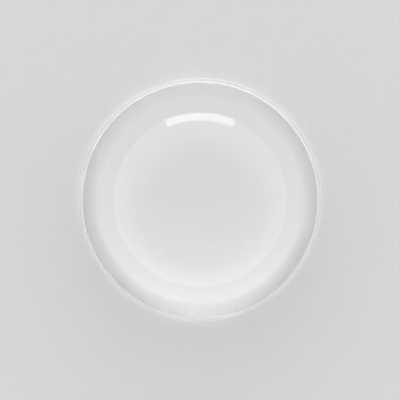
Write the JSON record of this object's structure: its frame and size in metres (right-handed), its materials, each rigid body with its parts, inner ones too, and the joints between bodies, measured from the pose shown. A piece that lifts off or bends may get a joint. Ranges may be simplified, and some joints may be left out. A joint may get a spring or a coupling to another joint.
{
  "type": "bumper pad",
  "caption": "Round clear vinyl pad with a domed crown and a flat self-adhesive face, stuck inside a door or drawer front to soften and quiet its closing.",
  "frame": {"origin": "centre of the flat adhesive face, at the pad's foot", "axes": "+Z along the pad's axis, from the adhesive face through the top of the crown; the pad is round, so +X and +Y may point anywhere across it"},
  "size_m": [0.0094, 0.0094, 0.0042],
  "materials": {
    "clear_vinyl": "soft clear vinyl, glossy as moulded, with a faint haze and a few tiny specks"
  },
  "bodies": {
    "root": {"bumper_pad": "clear_vinyl"}
  },
  "joints": []
}
